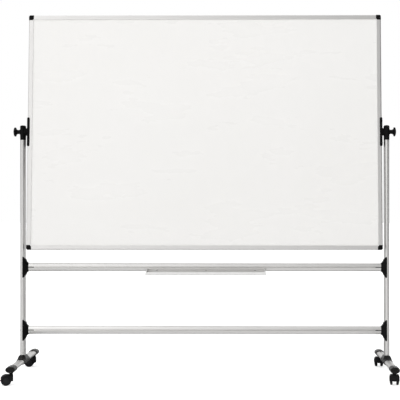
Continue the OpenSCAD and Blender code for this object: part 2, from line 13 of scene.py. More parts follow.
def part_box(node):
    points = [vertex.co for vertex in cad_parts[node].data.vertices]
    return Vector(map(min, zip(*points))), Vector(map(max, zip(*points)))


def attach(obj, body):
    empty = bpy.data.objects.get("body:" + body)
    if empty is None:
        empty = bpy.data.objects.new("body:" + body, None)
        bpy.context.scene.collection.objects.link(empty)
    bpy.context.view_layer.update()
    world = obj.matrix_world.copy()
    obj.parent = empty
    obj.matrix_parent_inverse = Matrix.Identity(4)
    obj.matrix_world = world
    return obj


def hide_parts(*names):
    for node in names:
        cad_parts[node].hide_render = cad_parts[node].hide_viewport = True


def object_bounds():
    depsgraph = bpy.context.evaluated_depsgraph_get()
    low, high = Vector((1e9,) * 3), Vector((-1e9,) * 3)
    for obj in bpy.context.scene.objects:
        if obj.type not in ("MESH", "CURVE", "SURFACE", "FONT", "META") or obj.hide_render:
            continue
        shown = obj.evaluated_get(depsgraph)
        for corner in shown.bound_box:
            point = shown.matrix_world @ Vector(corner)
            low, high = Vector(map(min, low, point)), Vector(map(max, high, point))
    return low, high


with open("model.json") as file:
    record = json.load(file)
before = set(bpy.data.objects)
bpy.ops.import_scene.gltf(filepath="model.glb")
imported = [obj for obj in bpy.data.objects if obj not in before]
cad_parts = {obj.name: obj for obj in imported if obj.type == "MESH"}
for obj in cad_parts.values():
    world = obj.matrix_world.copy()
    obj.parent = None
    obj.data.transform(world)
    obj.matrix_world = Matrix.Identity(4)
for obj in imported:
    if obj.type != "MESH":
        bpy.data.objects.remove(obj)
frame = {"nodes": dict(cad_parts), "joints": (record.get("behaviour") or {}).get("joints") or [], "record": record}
cad_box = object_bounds()
NODES = frame["nodes"]
JOINTS = {joint["name"]: joint for joint in frame["joints"]}
SIDES = {"left": -1, "right": 1}
scene = bpy.context.scene
MM = 0.001


# ---- Reading the frame ----

def box(node):
    """Lowest and highest corner of a CAD node, in millimetres"""
    low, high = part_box(node)
    return low / MM, high / MM


def joint_place(name):
    return Vector(JOINTS[name]["pos_m"]) / MM


def lean_matrix():
    """Turn about the pivot axis that takes an upright board to its resting lean"""
    face = next(m for m in frame["record"]["mounts"] if m["name"] == "front_writing_face")
    angle = math.atan2(face["axis"][2], -face["axis"][1])
    pivot = Matrix.Translation(joint_place("board_turn"))
    return pivot @ Matrix.Rotation(-angle, 4, "X") @ pivot.inverted()


def board_box(node):
    """Box of a node of the board as it would be with the board upright, in millimetres"""
    back = LEAN.inverted()
    return spread([back @ (vert.co / MM) for vert in NODES[node].data.vertices])


def solids(node):
    """Corner points of each separate solid in a CAD node, in millimetres, always in the mesh's order"""
    bm = bmesh.new()
    bm.from_mesh(NODES[node].data)
    bmesh.ops.remove_doubles(bm, verts=bm.verts, dist=1e-6)
    unseen, groups = set(bm.verts), []
    for first in bm.verts:
        if first not in unseen:
            continue
        unseen.remove(first)
        queue, group = [first], []
        while queue:
            vert = queue.pop()
            group.append(vert.co / MM)
            linked = [edge.other_vert(vert) for edge in vert.link_edges]
            near = [other for other in linked if other in unseen]
            unseen.difference_update(near)
            queue.extend(near)
        groups.append(group)
    bm.free()
    return groups


def spread(points):
    """Lowest and highest corner of a list of points"""
    low = Vector([min(p[i] for p in points) for i in range(3)])
    high = Vector([max(p[i] for p in points) for i in range(3)])
    return low, high


LEAN = lean_matrix()
PIVOT_Z = joint_place("board_turn").z


# ---- Outlines ----

def rounded(corners, steps=6):
    """Outline through (x, y, radius) corners, each one rounded off by an arc"""
    points = []
    for i, (x, y, radius) in enumerate(corners):
        corner = Vector((x, y))
        back = Vector(corners[i - 1][:2]) - corner
        ahead = Vector(corners[(i + 1) % len(corners)][:2]) - corner
        if radius <= 0:
            points.append((x, y))
            continue
        half = back.angle(ahead) / 2
        reach = min(radius / math.tan(half), 0.495 * min(back.length, ahead.length))
        radius = reach * math.tan(half)
        centre = corner + (back.normalized() + ahead.normalized()).normalized() * radius / math.sin(half)
        start = corner + back.normalized() * reach - centre
        end = corner + ahead.normalized() * reach - centre
        angle = math.atan2(start.y, start.x)
        turn = math.atan2(end.y, end.x) - angle
        turn = (turn + math.pi) % (2 * math.pi) - math.pi
        for k in range(steps + 1):
            a = angle + turn * k / steps
            points.append((centre.x + radius * math.cos(a), centre.y + radius * math.sin(a)))
    return points


def oval(long, short, grow=0.0, steps=14):
    """The tubes' oval of four arcs, moved outwards by grow; its long side lies along the first axis"""
    end_r = 0.4 * short
    end_x = long / 2 - end_r
    flat_r = (end_x ** 2 + short ** 2 / 4 - end_r ** 2) / (short - 2 * end_r)
    drop = flat_r - short / 2
    turn = math.atan2(drop, end_x)
    arcs = (
        (end_x, 0, end_r, -turn, turn),
        (0, -drop, flat_r, turn, math.pi - turn),
        (-end_x, 0, end_r, math.pi - turn, math.pi + turn),
        (0, drop, flat_r, math.pi + turn, 2 * math.pi - turn),
    )
    points = []
    for x, y, radius, start, end in arcs:
        for i in range(steps):
            a = start + (end - start) * i / steps
            points.append((x + (radius + grow) * math.cos(a), y + (radius + grow) * math.sin(a)))
    return points


def fillet(radius, steps=6):
    """(inset, distance from the end) pairs of a rounded end, from the end face inwards"""
    angles = [math.pi / 2 * k / steps for k in range(steps + 1)]
    return [(radius * (1 - math.sin(a)), radius * (1 - math.cos(a))) for a in angles]


# ---- Meshes ----

def loft(rings, closed=False):
    """Skin through a row of rings with equal numbers of points"""
    bm = bmesh.new()
    rows = [[bm.verts.new(point) for point in ring] for ring in rings]
    pairs = list(zip(rows, rows[1:]))
    if closed:
        pairs.append((rows[-1], rows[0]))
    count = len(rows[0])
    for a, b in pairs:
        for i in range(count):
            j = (i + 1) % count
            bm.faces.new((a[i], a[j], b[j], b[i]))
    if not closed:
        bm.faces.new(rows[0])
        bm.faces.new(rows[-1])
    bmesh.ops.remove_doubles(bm, verts=bm.verts, dist=1e-4)
    bmesh.ops.recalc_face_normals(bm, faces=bm.faces)
    return bm


def lathe(profile, steps=72):
    """Solid turned round Z from a closed outline of (radius, height)"""
    rings = []
    for k in range(steps):
        a = 2 * math.pi * k / steps
        rings.append([(r * math.cos(a), r * math.sin(a), h) for r, h in profile])
    return loft(rings, closed=True)


def prism(outline, start, end, axis):
    """Outline pulled along an axis; its two coordinates are the other two axes in cyclic order"""
    order = {"x": (2, 0, 1), "y": (1, 2, 0), "z": (0, 1, 2)}[axis]
    rings = []
    for depth in (start, end):
        ring = [(u, v, depth) for u, v in outline]
        rings.append([tuple(point[i] for i in order) for point in ring])
    return loft(rings)


def block(low, high):
    """Plain box, for cutting and for the floor"""
    outline = [(low[0], low[1]), (high[0], low[1]), (high[0], high[1]), (low[0], high[1])]
    return prism(outline, low[2], high[2], "z")


def rod(radius, start, end, steps=48):
    return lathe([(0, start), (radius, start), (radius, end), (0, end)], steps)


def along(axis, centre=(0, 0, 0)):
    """Turns a shape drawn on Z so that it lies along an axis or against it, and moves it"""
    turns = {
        "x": (90, "Y"), "-x": (-90, "Y"), "y": (-90, "X"), "-y": (90, "X"), "z": (0, "X"), "-z": (180, "X"),
    }
    angle, about = turns[axis]
    return Matrix.Translation(centre) @ Matrix.Rotation(math.radians(angle), 4, about)


def moved(bm, matrix):
    bm.transform(matrix)
    if matrix.determinant() < 0:
        bmesh.ops.reverse_faces(bm, faces=bm.faces)
    return bm


def joined(*parts):
    """One mesh from several, each kept as a closed shell of its own"""
    whole = bmesh.new()
    for bm in parts:
        mesh = bpy.data.meshes.new("part")
        bm.to_mesh(mesh)
        whole.from_mesh(mesh)
        bpy.data.meshes.remove(mesh)
        bm.free()
    return whole


def to_object(name, bm):
    """Object in metres from a mesh in millimetres"""
    bm.transform(Matrix.Scale(MM, 4))
    mesh = bpy.data.meshes.new(name)
    bm.to_mesh(mesh)
    bm.free()
    obj = bpy.data.objects.new(name, mesh)
    scene.collection.objects.link(obj)
    return obj


def settle(obj):
    """Applies the object's modifiers"""
    bpy.context.view_layer.update()
    graph = bpy.context.evaluated_depsgraph_get()
    mesh = bpy.data.meshes.new_from_object(obj.evaluated_get(graph))
    old = obj.data
    obj.modifiers.clear()
    obj.data = mesh
    bpy.data.meshes.remove(old)
    mesh.name = obj.name


def combine(obj, bm, operation):
    tool = to_object("tool", bm)
    change = obj.modifiers.new("combine", "BOOLEAN")
    change.object = tool
    change.operation = operation
    change.solver = "EXACT"
    settle(obj)
    mesh = tool.data
    bpy.data.objects.remove(tool)
    bpy.data.meshes.remove(mesh)
    return obj


def cut(obj, *parts):
    for bm in parts:
        combine(obj, bm, "DIFFERENCE")
    return obj


def add(obj, *parts):
    for bm in parts:
        combine(obj, bm, "UNION")
    return obj


def bevel(obj, width, segments=3, angle=40):
    """Rounds the sharp edges by a width in millimetres"""
    change = obj.modifiers.new("bevel", "BEVEL")
    change.width = width * MM
    change.segments = segments
    change.limit_method = "ANGLE"
    change.angle_limit = math.radians(angle)
    change.harden_normals = False
    settle(obj)
    return obj


def shade(obj, angle=32):
    obj.data.shade_smooth()
    obj.data.set_sharp_from_angle(angle=math.radians(angle))


def in_mm(obj):
    """An object's mesh, back in millimetres"""
    bm = bmesh.new()
    bm.from_mesh(obj.data)
    bm.transform(Matrix.Scale(1 / MM, 4))
    return bm


def instance(name, source, matrix):
    """Copy of a finished piece, moved by a matrix in millimetres"""
    return to_object(name, moved(in_mm(source), matrix))


def fit(obj, body, slot, material, *nodes, angle=32):
    """Finishes a piece: its shading, material, body and the CAD nodes it stands for; the slot argument is not used
    """
    shade(obj, angle)
    obj.data.materials.clear()
    obj.data.materials.append(material)
    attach(obj, body)
    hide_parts(*nodes)
    return obj


def remove(obj):
    mesh = obj.data
    bpy.data.objects.remove(obj)
    bpy.data.meshes.remove(mesh)


# ---- Materials ----

class Surface:
    """Principled material whose patterns are laid in object space"""

    def __init__(self, name, colour, metallic=0.0, specular=0.5, coat=0.0):
        self.material = bpy.data.materials.new(name)
        self.material.use_nodes = True
        self.tree = self.material.node_tree
        self.shader = self.tree.nodes["Principled BSDF"]
        self.shader.inputs["Base Color"].default_value = (*colour, 1)
        self.shader.inputs["Metallic"].default_value = metallic
        self.shader.inputs["Specular IOR Level"].default_value = specular
        self.shader.inputs["Coat Weight"].default_value = coat
        self.coords = self.tree.nodes.new("ShaderNodeTexCoord").outputs["Object"]
        self.height = None

    def follow_board(self):
        """Lays the patterns square to the leaning board"""
        turn = self.tree.nodes.new("ShaderNodeMapping")
        turn.inputs["Rotation"].default_value = LEAN.inverted().to_euler()
        self.link(self.coords, turn.inputs["Vector"])
        self.coords = turn.outputs["Vector"]

    def link(self, a, b):
        self.tree.links.new(a, b)

    def noise(self, scale, detail=3.0, roughness=0.55):
        """Noise from 0 to 1; scale is one number or one for each axis, in waves per metre"""
        node = self.tree.nodes.new("ShaderNodeTexNoise")
        node.inputs["Detail"].default_value = detail
        node.inputs["Roughness"].default_value = roughness
        if isinstance(scale, tuple):
            stretch = self.tree.nodes.new("ShaderNodeMapping")
            stretch.inputs["Scale"].default_value = scale
            node.inputs["Scale"].default_value = 1
            self.link(self.coords, stretch.inputs["Vector"])
            self.link(stretch.outputs["Vector"], node.inputs["Vector"])
        else:
            node.inputs["Scale"].default_value = scale
            self.link(self.coords, node.inputs["Vector"])
        return node.outputs["Fac"]

    def cells(self, scale):
        """Voronoi cells, each with a value of its own from 0 to 1"""
        node = self.tree.nodes.new("ShaderNodeTexVoronoi")
        node.inputs["Scale"].default_value = scale
        split = self.tree.nodes.new("ShaderNodeSeparateColor")
        self.link(self.coords, node.inputs["Vector"])
        self.link(node.outputs["Color"], split.inputs["Color"])
        return split.outputs["Red"]

    def remap(self, value, low, high, from_low=0.3, from_high=0.7):
        node = self.tree.nodes.new("ShaderNodeMapRange")
        node.inputs["From Min"].default_value = from_low
        node.inputs["From Max"].default_value = from_high
        node.inputs["To Min"].default_value = low
        node.inputs["To Max"].default_value = high
        self.link(value, node.inputs["Value"])
        return node.outputs["Result"]

    def math(self, operation, a, b):
        node = self.tree.nodes.new("ShaderNodeMath")
        node.operation = operation
        for socket, value in zip(node.inputs, (a, b)):
            if isinstance(value, (int, float)):
                socket.default_value = value
            else:
                self.link(value, socket)
        return node.outputs["Value"]

    def colour(self, value, dark, light, from_low=0.3, from_high=0.7):
        """Base colour between two tones, by a value"""
        ramp = self.tree.nodes.new("ShaderNodeValToRGB")
        ramp.color_ramp.elements[0].position = from_low
        ramp.color_ramp.elements[0].color = (*dark, 1)
        ramp.color_ramp.elements[1].position = from_high
        ramp.color_ramp.elements[1].color = (*light, 1)
        self.link(value, ramp.inputs["Fac"])
        self.link(ramp.outputs["Color"], self.shader.inputs["Base Color"])

    def roughness(self, value, low, high):
        self.link(self.remap(value, low, high), self.shader.inputs["Roughness"])

    def bump(self, value, depth, strength=1.0):
        """Adds relief of a depth in millimetres"""
        node = self.tree.nodes.new("ShaderNodeBump")
        node.inputs["Strength"].default_value = strength
        node.inputs["Distance"].default_value = depth * MM
        self.link(value, node.inputs["Height"])
        if self.height is not None:
            self.link(self.height, node.inputs["Normal"])
        self.height = node.outputs["Normal"]
        self.link(self.height, self.shader.inputs["Normal"])


def anodised(name, axis, on_board=False):
    """Satin anodised extrusion with die lines along an axis"""
    lines = tuple(1.5 if i == axis else 700 for i in range(3))
    bands = tuple(0.4 if i == axis else 160 for i in range(3))
    s = Surface(name, (0.76, 0.76, 0.75), metallic=1.0)
    if on_board:
        s.follow_board()
    drawn = s.noise(lines, detail=4)
    s.colour(s.noise(bands, detail=2), (0.73, 0.722, 0.71), (0.79, 0.782, 0.77))
    uneven = s.math("ADD", s.math("MULTIPLY", drawn, 0.5), s.math("MULTIPLY", s.noise(9), 0.5))
    s.roughness(uneven, 0.30, 0.42)
    s.bump(drawn, 0.02, 0.5)
    s.bump(s.noise(2600, detail=2), 0.01, 0.35)
    return s.material


def enamel():
    """Lacquered steel writing sheet, with a faint waviness and wiping haze"""
    s = Surface("writing_surface_enamel", (0.90, 0.90, 0.885), specular=0.5, coat=0.25)
    s.shader.inputs["Coat Roughness"].default_value = 0.12
    s.colour(s.noise(1.6, detail=2), (0.895, 0.886, 0.866), (0.905, 0.897, 0.879))
    s.roughness(s.noise((2.2, 2.2, 9.0), detail=5), 0.27, 0.282)
    s.bump(s.noise(420, detail=2), 0.006, 0.25)
    s.bump(s.noise(4.5, detail=1), 0.03, 0.03)
    return s.material


def moulded(name, dark, light, roughness, grain=1900, depth=0.05, specular=0.3):
    """Moulded plastic with a spark-eroded grain and slight flow marks"""
    s = Surface(name, light, specular=specular)
    s.colour(s.noise(38, detail=4), dark, light)
    s.roughness(s.noise(120, detail=4), *roughness)
    s.bump(s.noise(grain, detail=3), depth, 0.4)
    s.bump(s.noise(60, detail=2), 0.12, 0.12)
    return s.material


def plated(name, dark, light):
    """Plated steel with a mottled, brushed look"""
    s = Surface(name, light, metallic=1.0)
    mottle = s.math("ADD", s.math("MULTIPLY", s.cells(900), 0.4), s.math("MULTIPLY", s.noise(240), 0.6))
    s.colour(mottle, dark, light, 0.2, 0.8)
    s.roughness(mottle, 0.26, 0.44)
    s.bump(s.noise(3200, detail=2), 0.01, 0.4)
    return s.material


def card():
    """Kraft honeycomb card"""
    s = Surface("kraft_card", (0.55, 0.42, 0.27), specular=0.2)
    s.colour(s.noise(700, detail=5), (0.42, 0.31, 0.19), (0.62, 0.48, 0.31))
    s.roughness(s.noise(300), 0.8, 0.95)
    s.bump(s.cells(160), 0.3, 0.6)
    return s.material


ALUMINIUM = {axis: anodised(f"anodised_along_{axis}", i) for i, axis in enumerate("xyz")}
FRAME_ALUMINIUM = {axis: anodised(f"frame_anodised_along_{axis}", i, True) for i, axis in enumerate("xyz")}
BLACK = moulded("black_moulding", (0.003, 0.003, 0.0033), (0.006, 0.006, 0.0066), (0.38, 0.50), specular=0.07)
GREY = moulded(
    "dark_grey_moulding", (0.003, 0.0028, 0.0025), (0.006, 0.0056, 0.0052), (0.24, 0.32), specular=0.2,
)
PALE = moulded("pale_moulding", (0.76, 0.76, 0.75), (0.83, 0.83, 0.82), (0.38, 0.50))
NYLON = moulded("black_nylon", (0.014, 0.014, 0.015), (0.022, 0.022, 0.024), (0.42, 0.55), 1300, 0.04, 0.18)
HOOD = moulded(
    "black_caster_moulding", (0.007, 0.007, 0.0078), (0.012, 0.012, 0.013), (0.38, 0.50), specular=0.1,
)
ZINC = plated("zinc_plate", (0.47, 0.48, 0.49), (0.66, 0.67, 0.68))
DARK_STEEL = plated("blackened_steel_plate", (0.012, 0.012, 0.012), (0.024, 0.024, 0.025))
ENAMEL = enamel()
CARD = card()


# ---- Stand ----

def tube_size(node, long_axis, short_axis):
    """Long and short side of a tube and its middle, from its box"""
    low, high = box(node)
    size = high - low
    return size[long_axis], size[short_axis], (low + high) / 2


# Each tube and the axis it lies along, and the sizes of the three kinds
TUBES = {
    "left_upright": "z", "right_upright": "z", "upper_rail": "x", "lower_rail": "x",
    "left_foot_bar": "y", "right_foot_bar": "y",
}
UPRIGHT = tube_size("right_upright", 1, 0)
RAIL = tube_size("upper_rail", 2, 1)
FOOT = tube_size("right_foot_bar", 0, 2)
NOMINAL = {"upright": UPRIGHT[:2], "rail": RAIL[:2], "bar": FOOT[:2]}
GROOVE_HALF = 3.6
TUBE_SKIN = 4.8


def superellipse(half_y, half_z, power, steps=72):
    """Closed curve between an ellipse, at power 2, and a rectangle, at a high power"""
    points = []
    for k in range(steps):
        a = 2 * math.pi * k / steps
        c, s = math.cos(a), math.sin(a)
        points.append((
            half_y * math.copysign(abs(c) ** (2 / power), c),
            half_z * math.copysign(abs(s) ** (2 / power), s),
        ))
    return points


def upright_tool(grow=0.0, low=0.0, high=1300.0):
    """Right upright's outline, as a solid for cutting"""
    long, short, middle = UPRIGHT
    outline = [(middle.x + v, u) for u, v in oval(long, short, grow)]
    return prism(outline, low, high, "z")


def connector(name, height):
    """Bell at a rail's end that wraps the inner half of the upright"""
    skin, tall, neck_r, end_r = 2.5, 56.0, 1.6, 2.0
    neck_power, squarer = 2.6, 6.0
    low, high = box("upper_right_connector")
    rail_long, rail_short = RAIL[:2]
    neck_z, neck_y = rail_long / 2 + skin, rail_short / 2 + skin
    bell_y = UPRIGHT[0] / 2 + skin
    steps = 16
    rings = []
    for inset, depth in fillet(neck_r, 4):
        x = low.x + depth
        rings.append([(x, y, z) for y, z in superellipse(neck_y - inset, neck_z - inset, neck_power)])
    shoulder = high.x - end_r
    for k in range(1, steps + 1):
        t = k / steps
        x = low.x + neck_r + t * (shoulder - low.x - neck_r)
        s = (1 - math.cos(math.pi * t)) / 2
        half_y, half_z = neck_y + (bell_y - neck_y) * s, neck_z + (tall - neck_z) * s
        ring = superellipse(half_y, half_z, neck_power + squarer * s)
        rings.append([(x, y, z) for y, z in ring])
    for inset, depth in reversed(fillet(end_r, 5)):
        x = high.x - depth
        rings.append([(x, y, z) for y, z in superellipse(bell_y - inset, tall - inset, neck_power + squarer)])
    obj = to_object(name, moved(loft(rings), Matrix.Translation((0, 0, height))))
    rail_end = box("upper_rail")[1].x
    rail_tool = prism([(v, u + height) for u, v in oval(rail_long, rail_short)], low.x - 1, rail_end, "x")
    return cut(obj, upright_tool(), rail_tool)


def foot_cap(name):
    """Rear end cap of the right foot"""
    long, short, middle = FOOT
    skin, edge, bare_bar, socket_r = 3.5, 5.0, 176.0, 8.0
    inner = box("right_foot_saddle")[1].y + bare_bar
    outer = box("foot_end_caps")[1].y
    rings = []
    for inset, depth in fillet(0.8, 3):
        ring = oval(long, short, skin - inset)
        rings.append([(middle.x + u, inner + depth, middle.z + v) for u, v in ring])
    for inset, depth in reversed(fillet(edge, 8)):
        ring = oval(long, short, skin - inset)
        rings.append([(middle.x + u, outer - depth, middle.z + v) for u, v in ring])
    obj = to_object(name, loft(rings))
    bar_end = box("right_foot_bar")[1].y
    bore = prism([(middle.z + v, middle.x + u) for u, v in oval(long, short)], inner - 1, bar_end, "y")
    stem = joint_place("rear_right_swivel")
    socket = moved(rod(socket_r, middle.z - short, middle.z), Matrix.Translation((stem.x, stem.y, 0)))
    return cut(obj, bore, socket)


def saddle(name):
    """Saddle on the right foot that rises to a collar round the upright"""
    long, short, middle = FOOT
    low, high = box("right_foot_saddle")
    skin, edge = 3.5, 2.0
    half_x, half_z = long / 2 + skin, short / 2 + skin
    rise = high.z - middle.z
    flat, foot, collar_half, bolt_r = 24.0, 50.0, 17.0, 4.0
    taper = 1 - collar_half / half_x

    def section(y, inset=0.0):
        t = min(1, max(0, (foot - abs(y)) / (foot - flat)))
        s = t * t * (3 - 2 * t)
        top = half_z + (rise - half_z) * s
        ring = []
        for u, v in oval(long, short, skin - inset, 20):
            if v > 0:
                square = (1 - min(1, abs(u) / half_x) ** 5) ** (1 / 5)
                v = top * ((1 - s) * v / half_z + s * square)
                u *= 1 - taper * s * (v / top) ** 1.4
            ring.append((middle.x + u, y, middle.z + v))
        return ring

    rings = [section(low.y + depth, inset) for inset, depth in fillet(edge, 4)]
    count = 40
    inner = high.y - edge
    rings += [section(-inner + 2 * inner * k / count) for k in range(1, count)]
    rings += [section(high.y - depth, inset) for inset, depth in reversed(fillet(edge, 4))]
    obj = to_object(name, loft(rings))
    bore = prism([(middle.z + v, middle.x + u) for u, v in oval(long, short)], low.y - 1, high.y + 1, "y")
    seat = box("right_upright")[0].z
    bolt = moved(rod(bolt_r, low.z - 5, middle.z), Matrix.Translation((middle.x, 0, 0)))
    return cut(obj, bore, upright_tool(low=seat), bolt)


def housing(name):
    """Head of the right upright, with a flat boss for the knob and the hub"""
    long, short, middle = UPRIGHT
    low, high = box("right_pivot_housing")
    skin, top_r, overlap = 1.0, 7.0, 19.0
    knob_boss_r, hub_boss_r, bush_r = 15.0, 19.5, 12.0
    tube_top = box("right_upright")[1].z
    cover = tube_top - overlap
    rings = []
    for inset, height in ((0.65, 0.0), (0.45, 0.5), (0.3, 9.0), (0.0, 14.0)):
        rings.append((cover + height, skin - inset))
    for inset, depth in reversed(fillet(top_r, 8)):
        rings.append((high.z - depth, skin - inset))
    outline = [[(middle.x + v, u, z) for u, v in oval(long, short, grow)] for z, grow in rings]
    obj = to_object(name, loft(outline))
    out, back = high.x - middle.x, middle.x - low.x
    outer_boss = lathe(rounded([(0, 0, 0), (knob_boss_r, 0, 0), (knob_boss_r, out, 1.2), (0, out, 0)]))
    inner_boss = lathe(rounded([(0, 0, 0), (hub_boss_r, 0, 0), (hub_boss_r, back, 1.0), (0, back, 0)]))
    add(obj, moved(outer_boss, along("x", (middle.x, 0, PIVOT_Z))),
        moved(inner_boss, along("-x", (middle.x, 0, PIVOT_Z))))
    bore = moved(rod(bush_r, low.x - 5, high.x + 5), along("x", (0, 0, PIVOT_Z)))
    tube = upright_tool(low=cover - 5, high=tube_top)
    return cut(obj, tube, bore)


def tray_end(name, side):
    """End plate of the pen tray, thicker towards its foot"""
    foot, lip_z = 6.0, box("upper_rail")[0].z + 2.5
    low, high = box("tray_end_caps")
    tray_end_x = box("pen_tray")[1].x
    thick = high.x - tray_end_x
    start = tray_end_x if side > 0 else low.x
    outline = rounded([
        (high.y, low.z, 1), (high.y, high.z, 1.5), (high.y - 4, high.z, 3),
        (low.y + 13.5, lip_z, 4), (low.y, lip_z, 2), (low.y + 3.5, low.z, 3),
    ])
    plate = prism(outline, start, start + thick, "x")
    outside = start + thick if side > 0 else start
    for vert in plate.verts:
        if abs(vert.co.x - outside) < 0.01:
            vert.co.x += side * (foot * (high.z - vert.co.z) / (high.z - low.z) - 1)
    return bevel(to_object(name, plate), 0.7)


def tray_wall(name):
    """Tray extrusion: a thick back wall with a slot along its foot, a floor and a leaning front wall"""
    low, high = box("pen_tray")
    rail_low, rail_high = box("upper_rail")
    lip, top = rail_low.z, (rail_low.z + rail_high.z) / 2 - 3.5
    wall, skin = 18.0, 1.6
    deep, foot, slot, sole = high.y - wall, lip - 4, lip + 7.5, low.z
    outline = rounded([
        (high.y, sole, 0), (high.y, top, 0.5), (deep, top, 1.5), (deep + 3, slot, 0.6),
        (high.y - skin, slot, 0), (high.y - skin, foot, 0), (deep + 5, foot, 0.6), (deep + 5, sole + 2, 0.5),
        (low.y + 9, sole + 2, 1), (low.y + 2, lip - 0.6, 0.3), (low.y, lip - 0.6, 0.3), (low.y + 7, sole, 1),
    ], 3)
    return to_object(name, prism(outline, low.x, high.x, "x"))


def tray_strip(name):
    """Pale rounded strip along the tray's front wall"""
    low = box("tray_end_caps")[0]
    tray_low, tray_high = box("pen_tray")
    wall, top = tray_low.y, box("upper_rail")[0].z + 0.6
    outline = rounded([
        (wall - 0.3, top, 0.2), (wall - 1.2, top, 1), (low.y + 0.4, top - 5, 5), (low.y - 0.2, low.z + 5, 3),
        (low.y + 3, low.z + 0.4, 2), (wall + 2.5, low.z + 0.4, 0.3),
    ])
    return to_object(name, prism(outline, tray_low.x - 0.5, tray_high.x + 0.5, "x"))


def grooved(long, short, half):
    """A tube's oval with a square-cornered V groove of a half width down each broad side"""
    points = []
    for side in (1, -1):
        face = [(u, v) for u, v in oval(long, short, 0, 40) if v * side >= 0 and abs(u) >= half]
        face.sort(key=lambda point: -point[0] * side)
        edge = short / 2 - 0.1
        split = next(i for i, point in enumerate(face) if point[0] * side < 0)
        groove = [(half * side, edge * side), (0.0, (edge - half) * side), (-half * side, edge * side)]
        points += face[:split] + groove + face[split:]
    return points


def tube(name, node, axis):
    """Grooved tube along an axis, open at both ends"""
    low, high = box(node)
    middle, size = (low + high) / 2, high - low
    run = "xyz".index(axis)
    across = [i for i in range(3) if i != run]
    long_axis = max(across, key=lambda i: size[i])
    short_axis = min(across, key=lambda i: size[i])
    long, short = NOMINAL[node.split("_")[-1]]

    def ring(outline, depth):
        points = []
        for u, v in outline:
            point = middle.copy()
            point[run] = depth
            point[long_axis] += u
            point[short_axis] += v
            points.append(tuple(point))
        return points

    start, end = low[run], high[run]
    outside, inside = grooved(long, short, GROOVE_HALF), oval(long, short, -TUBE_SKIN)
    obj = to_object(name, loft([ring(outside, start), ring(outside, end)]))
    return cut(obj, loft([ring(inside, start - 1), ring(inside, end + 1)]))


# ---- Screws ----

def hexagon(size):
    return [(size * math.cos(math.pi / 3 * k), size * math.sin(math.pi / 3 * k)) for k in range(6)]


def sunk_screw(shank_r, head_r, head_h, length):
    """Countersunk socket screw standing on Z, the foot of its head's cone at the origin"""
    profile = rounded([
        (0, -length, 0), (shank_r - 0.5, -length, 0), (shank_r, 0.6 - length, 0), (shank_r, 0, 0),
        (head_r, head_h - 0.3, 0), (head_r, head_h, 0.2), (0, head_h, 0),
    ], 3)
    obj = to_object("screw", lathe(profile, 36))
    return cut(obj, prism(hexagon(head_r * 0.42), head_h * 0.3, head_h + 1, "z"))


def screw(shank_r, head_r, head_h, length, drive):
    """Screw standing on Z, its head's underside at the origin"""
    dome = rounded([
        (0, -length, 0), (shank_r - 0.5, -length, 0), (shank_r, 0.6 - length, 0), (shank_r, 0, 0),
        (head_r, 0, 0.2), (head_r, head_h * 0.55, head_h * 0.4), (head_r * 0.55, head_h, head_h * 1.2),
        (0, head_h, 0),
    ], 5)
    obj = to_object("screw", lathe(dome, 36))
    if drive == "hex":
        cut(obj, prism(hexagon(head_r * 0.48), head_h * 0.25, head_h + 1, "z"))
    else:
        arm, width, floor = head_r * 0.55, head_r * 0.11, head_h * 0.3
        cross = [
            (arm, width), (width, width), (width, arm), (-width, arm), (-width, width), (-arm, width),
            (-arm, -width), (-width, -width), (-width, -arm), (width, -arm), (width, -width), (arm, -width),
        ]
        cut(obj, prism(cross, floor, head_h + 1, "z"))
    return obj


def screws(node, drive, body, slot, material):
    """One piece for a CAD node of like screws, each set where its solid lies"""
    parts = []
    for points in solids(node):
        low, high = spread(points)
        size = high - low
        axis = max(range(3), key=lambda i: size[i])
        middle = (low + high) / 2
        along_squared = [(p[axis] - middle[axis]) ** 2 for p in points]
        squared = [(p - middle).length_squared - a for p, a in zip(points, along_squared)]
        radii = [math.sqrt(max(0, r)) for r in squared]
        head_r = max(radii)
        head = [p[axis] for p, r in zip(points, radii) if r > 0.97 * head_r]
        sign = 1 if sum(head) / len(head) > middle[axis] else -1
        depths = [(p[axis] - middle[axis]) * sign for p in points]
        shank_r = max(r for r, d in zip(radii, depths) if d < -0.45 * size[axis])
        top = max(sign * h for h in head)
        base = min(sign * h for h in head)
        sunk = top - base < 0.5
        if sunk:
            base = max(d for r, d in zip(radii, depths) if r < shank_r + 0.1) + sign * middle[axis]
        make = sunk_screw if sunk else screw
        details = () if sunk else (drive,)
        source = make(shank_r, head_r, top - base, size[axis] - (top - base), *details)
        place = Vector(middle)
        place[axis] = sign * base
        parts.append(moved(in_mm(source), along(("" if sign > 0 else "-") + "xyz"[axis], place)))
        remove(source)
    obj = to_object(f"{node}_detailed", joined(*parts))
    fit(obj, body, slot, material, node)


# ---- Board ----

def corner_cap(name, side, top):
    """Cap over a mitred corner of the frame"""
    low, high = board_box("corner_caps")
    half_w, depth = high.x, high.y
    size, round_r, inner_cut = 25.0, 8.5, 8.5
    outline = rounded([
        (0, 0, round_r), (size, 0, 0.8), (size, size - inner_cut, 1.2),
        (size - inner_cut, size, 1.2), (0, size, 0.8),
    ], 8)
    obj = to_object(name, prism([(v, u) for u, v in outline], -depth, depth, "y"))
    bevel(obj, 1.6, 4)
    sheet_low, sheet_high = board_box("front_writing_sheet")
    back_y = board_box("back_writing_sheet")[1].y
    inset = half_w - sheet_high.x
    cut(obj, block((inset, sheet_low.y - 0.05, inset), (60, back_y + 0.05, 60)))
    mirror = Matrix.Diagonal((-side, 1, -1 if top else 1, 1))
    corner = Matrix.Translation((side * half_w, 0, high.z if top else low.z))
    placed = instance(name, obj, LEAN @ corner @ mirror)
    remove(obj)
    placed.name = name
    return placed


